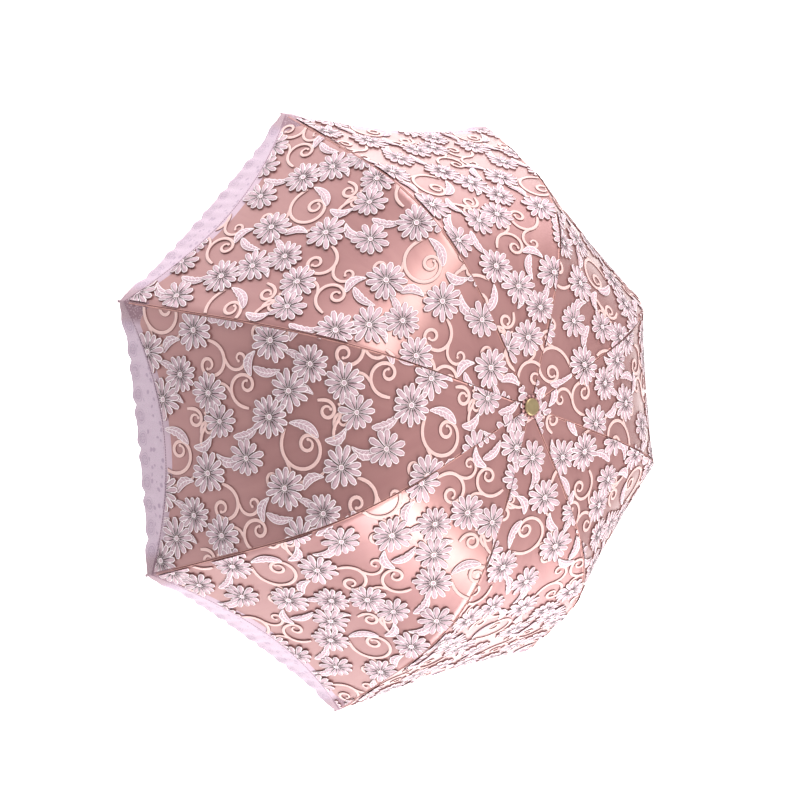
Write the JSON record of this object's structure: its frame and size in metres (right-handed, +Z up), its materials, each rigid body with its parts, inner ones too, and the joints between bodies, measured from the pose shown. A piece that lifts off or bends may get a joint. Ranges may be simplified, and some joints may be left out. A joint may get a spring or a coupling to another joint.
{
  "type": "lace parasol",
  "caption": "Open parasol with ribs, stretchers and a sliding runner under an embroidered satin canopy edged with a scalloped lace flounce.",
  "frame": {"origin": "centre of the flat face at the handle's end, on the shaft axis", "axes": "+Z up along the shaft to the cap; +X along rib_1, with the ribs counted anticlockwise seen from above"},
  "size_m": [0.8892, 0.8892, 0.7512],
  "materials": {
    "satin": "satin weave with embroidery",
    "lace": "fine net lace",
    "frame_steel": "satin plated",
    "steel": "bright wire",
    "dark_metal": "dark enamel",
    "shaft_metal": "satin enamel",
    "tip_metal": "satin plated",
    "brass": "aged olive brass",
    "wood": "turned and varnished",
    "runner_plastic": "moulded"
  },
  "bodies": {
    "shaft": {"shaft_tube": "shaft_metal", "top_notch": "dark_metal", "notch_wire": "steel", "crown_rosette": "satin", "ferrule_cap": "brass", "stop_pin": "steel", "handle_grip": "wood", "handle_collar": "brass", "handle_end_cap": "brass"},
    "runner": {"runner_sleeve": "runner_plastic", "runner_wire": "steel", "runner_ring": "brass"},
    "top_catch": {"top_catch": "steel"},
    "bottom_catch": {"bottom_catch": "steel"},
    "rib_1": {"rib_1": "frame_steel", "rib_tip_1": "tip_metal", "gore_1": "satin", "flounce_1": "lace"},
    "rib_2": {"rib_2": "frame_steel", "rib_tip_2": "tip_metal", "gore_2": "satin", "flounce_2": "lace"},
    "rib_3": {"rib_3": "frame_steel", "rib_tip_3": "tip_metal", "gore_3": "satin", "flounce_3": "lace"},
    "rib_4": {"rib_4": "frame_steel", "rib_tip_4": "tip_metal", "gore_4": "satin", "flounce_4": "lace"},
    "rib_5": {"rib_5": "frame_steel", "rib_tip_5": "tip_metal", "gore_5": "satin", "flounce_5": "lace"},
    "rib_6": {"rib_6": "frame_steel", "rib_tip_6": "tip_metal", "gore_6": "satin", "flounce_6": "lace"},
    "rib_7": {"rib_7": "frame_steel", "rib_tip_7": "tip_metal", "gore_7": "satin", "flounce_7": "lace"},
    "rib_8": {"rib_8": "frame_steel", "rib_tip_8": "tip_metal", "gore_8": "satin", "flounce_8": "lace"},
    "stretcher_1": {"stretcher_1": "frame_steel"},
    "stretcher_2": {"stretcher_2": "frame_steel"},
    "stretcher_3": {"stretcher_3": "frame_steel"},
    "stretcher_4": {"stretcher_4": "frame_steel"},
    "stretcher_5": {"stretcher_5": "frame_steel"},
    "stretcher_6": {"stretcher_6": "frame_steel"},
    "stretcher_7": {"stretcher_7": "frame_steel"},
    "stretcher_8": {"stretcher_8": "frame_steel"}
  },
  "joints": [
    {"name": "runner_slide", "type": "slide", "parent": "shaft", "child": "runner", "axis": [0, 0, -1], "range_m": [0, 0.2396]},
    {"name": "rib_1_hinge", "type": "hinge", "parent": "shaft", "child": "rib_1", "pos_m": [0.009, 0, 0.7423], "axis": [0, 1, 0], "range_deg": [0, 57], "deforming": ["gore_1", "flounce_1"]},
    {"name": "rib_2_hinge", "type": "hinge", "parent": "shaft", "child": "rib_2", "pos_m": [0.00636, 0.00636, 0.7423], "axis": [-0.7071, 0.7071, 0], "range_deg": [0, 57], "deforming": ["gore_2", "flounce_2"]},
    {"name": "rib_3_hinge", "type": "hinge", "parent": "shaft", "child": "rib_3", "pos_m": [0, 0.009, 0.7423], "axis": [-1, 0, 0], "range_deg": [0, 57], "deforming": ["gore_3", "flounce_3"]},
    {"name": "rib_4_hinge", "type": "hinge", "parent": "shaft", "child": "rib_4", "pos_m": [-0.00636, 0.00636, 0.7423], "axis": [-0.7071, -0.7071, 0], "range_deg": [0, 57], "deforming": ["gore_4", "flounce_4"]},
    {"name": "rib_5_hinge", "type": "hinge", "parent": "shaft", "child": "rib_5", "pos_m": [-0.009, 0, 0.7423], "axis": [0, -1, 0], "range_deg": [0, 57], "deforming": ["gore_5", "flounce_5"]},
    {"name": "rib_6_hinge", "type": "hinge", "parent": "shaft", "child": "rib_6", "pos_m": [-0.00636, -0.00636, 0.7423], "axis": [0.7071, -0.7071, 0], "range_deg": [0, 57], "deforming": ["gore_6", "flounce_6"]},
    {"name": "rib_7_hinge", "type": "hinge", "parent": "shaft", "child": "rib_7", "pos_m": [0, -0.009, 0.7423], "axis": [1, 0, 0], "range_deg": [0, 57], "deforming": ["gore_7", "flounce_7"]},
    {"name": "rib_8_hinge", "type": "hinge", "parent": "shaft", "child": "rib_8", "pos_m": [0.00636, -0.00636, 0.7423], "axis": [0.7071, 0.7071, 0], "range_deg": [0, 57], "deforming": ["gore_8", "flounce_8"]},
    {"name": "stretcher_1_hinge", "type": "hinge", "parent": "runner", "child": "stretcher_1", "pos_m": [0.0115, 0, 0.625], "axis": [0, -1, 0], "range_deg": [0, 36.67]},
    {"name": "stretcher_2_hinge", "type": "hinge", "parent": "runner", "child": "stretcher_2", "pos_m": [0.00813, 0.00813, 0.625], "axis": [0.7071, -0.7071, 0], "range_deg": [0, 36.67]},
    {"name": "stretcher_3_hinge", "type": "hinge", "parent": "runner", "child": "stretcher_3", "pos_m": [0, 0.0115, 0.625], "axis": [1, 0, 0], "range_deg": [0, 36.67]},
    {"name": "stretcher_4_hinge", "type": "hinge", "parent": "runner", "child": "stretcher_4", "pos_m": [-0.00813, 0.00813, 0.625], "axis": [0.7071, 0.7071, 0], "range_deg": [0, 36.67]},
    {"name": "stretcher_5_hinge", "type": "hinge", "parent": "runner", "child": "stretcher_5", "pos_m": [-0.0115, 0, 0.625], "axis": [0, 1, 0], "range_deg": [0, 36.67]},
    {"name": "stretcher_6_hinge", "type": "hinge", "parent": "runner", "child": "stretcher_6", "pos_m": [-0.00813, -0.00813, 0.625], "axis": [-0.7071, 0.7071, 0], "range_deg": [0, 36.67]},
    {"name": "stretcher_7_hinge", "type": "hinge", "parent": "runner", "child": "stretcher_7", "pos_m": [0, -0.0115, 0.625], "axis": [-1, 0, 0], "range_deg": [0, 36.67]},
    {"name": "stretcher_8_hinge", "type": "hinge", "parent": "runner", "child": "stretcher_8", "pos_m": [0.00813, -0.00813, 0.625], "axis": [-0.7071, -0.7071, 0], "range_deg": [0, 36.67]},
    {"name": "top_catch_press", "type": "hinge", "parent": "shaft", "child": "top_catch", "pos_m": [0.00092, 0.00038, 0.545], "axis": [0.3827, -0.9239, 0], "range_deg": [0, 7.5], "stiffness_Nm_per_rad": 2},
    {"name": "bottom_catch_press", "type": "hinge", "parent": "shaft", "child": "bottom_catch", "pos_m": [0.00092, 0.00038, 0.41337], "axis": [-0.3827, 0.9239, 0], "range_deg": [0, 7.5], "stiffness_Nm_per_rad": 2}
  ],
  "couplings": [
    {"joint": "rib_1_hinge", "follows": "runner_slide", "rad_per_m": 4.1516},
    {"joint": "rib_2_hinge", "follows": "runner_slide", "rad_per_m": 4.1516},
    {"joint": "rib_3_hinge", "follows": "runner_slide", "rad_per_m": 4.1516},
    {"joint": "rib_4_hinge", "follows": "runner_slide", "rad_per_m": 4.1516},
    {"joint": "rib_5_hinge", "follows": "runner_slide", "rad_per_m": 4.1516},
    {"joint": "rib_6_hinge", "follows": "runner_slide", "rad_per_m": 4.1516},
    {"joint": "rib_7_hinge", "follows": "runner_slide", "rad_per_m": 4.1516},
    {"joint": "rib_8_hinge", "follows": "runner_slide", "rad_per_m": 4.1516},
    {"joint": "stretcher_1_hinge", "follows": "runner_slide", "rad_per_m": 2.6708},
    {"joint": "stretcher_2_hinge", "follows": "runner_slide", "rad_per_m": 2.6708},
    {"joint": "stretcher_3_hinge", "follows": "runner_slide", "rad_per_m": 2.6708},
    {"joint": "stretcher_4_hinge", "follows": "runner_slide", "rad_per_m": 2.6708},
    {"joint": "stretcher_5_hinge", "follows": "runner_slide", "rad_per_m": 2.6708},
    {"joint": "stretcher_6_hinge", "follows": "runner_slide", "rad_per_m": 2.6708},
    {"joint": "stretcher_7_hinge", "follows": "runner_slide", "rad_per_m": 2.6708},
    {"joint": "stretcher_8_hinge", "follows": "runner_slide", "rad_per_m": 2.6708}
  ]
}
